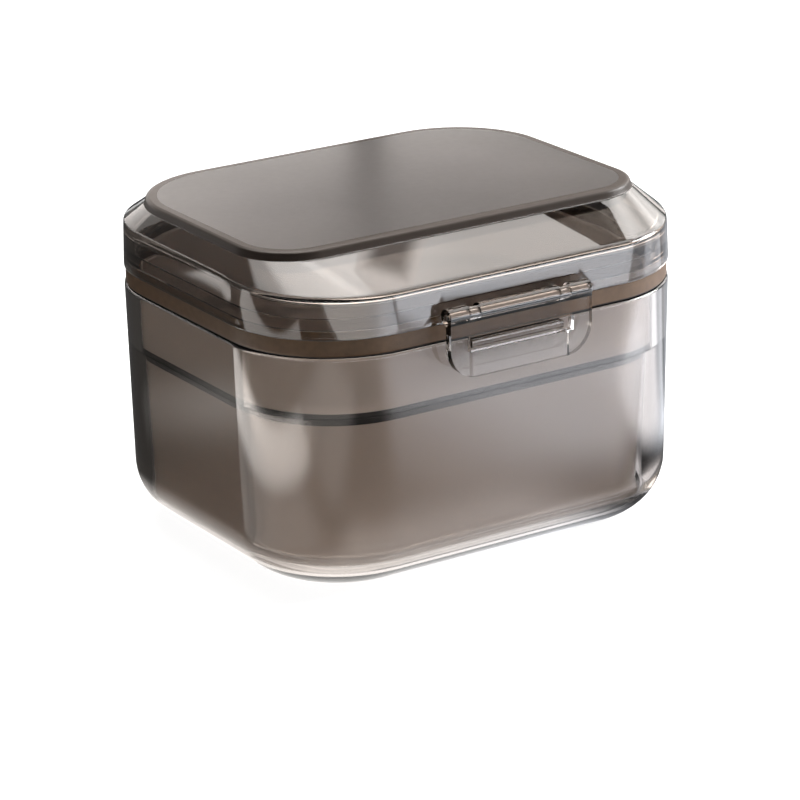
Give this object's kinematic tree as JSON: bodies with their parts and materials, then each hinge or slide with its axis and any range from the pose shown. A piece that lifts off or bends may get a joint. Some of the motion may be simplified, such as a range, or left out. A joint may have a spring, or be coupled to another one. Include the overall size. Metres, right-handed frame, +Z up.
{
  "type": "denture case",
  "caption": "Clear smoke plastic denture case with a frosted strainer basket, a hinged lid with a brown gasket and a front flap latch.",
  "frame": {"origin": "middle of the footprint, on the surface that the case stands on", "axes": "+X to the right along the front with the latch, +Y to the back with the hinge, +Z up"},
  "size_m": [0.08, 0.073, 0.055],
  "materials": {
    "clear_smoke": "polished transparent smoke",
    "frosted_smoke": "frosted translucent smoke",
    "brown_silicone": "satin silicone",
    "pin_steel": "ground"
  },
  "bodies": {
    "base": {"outer_case": "clear_smoke", "hinge_pin": "pin_steel"},
    "basket": {"strainer_basket": "frosted_smoke"},
    "lid": {"lid_cover": "clear_smoke", "lid_gasket": "brown_silicone", "latch_pin": "pin_steel"},
    "latch": {"latch_flap": "clear_smoke"}
  },
  "joints": [
    {"name": "lid_hinge", "type": "hinge", "parent": "base", "child": "lid", "pos_m": [0, 0.0351, 0.042], "axis": [-1, 0, 0], "range_deg": [0, 110]},
    {"name": "latch_hinge", "type": "hinge", "parent": "lid", "child": "latch", "pos_m": [0, -0.0351, 0.0448], "axis": [-1, 0, 0], "range_deg": [0, 90]},
    {"name": "basket_lift", "type": "slide", "parent": "base", "child": "basket", "axis": [0, 0, 1], "range_m": [0, 0.005]}
  ]
}
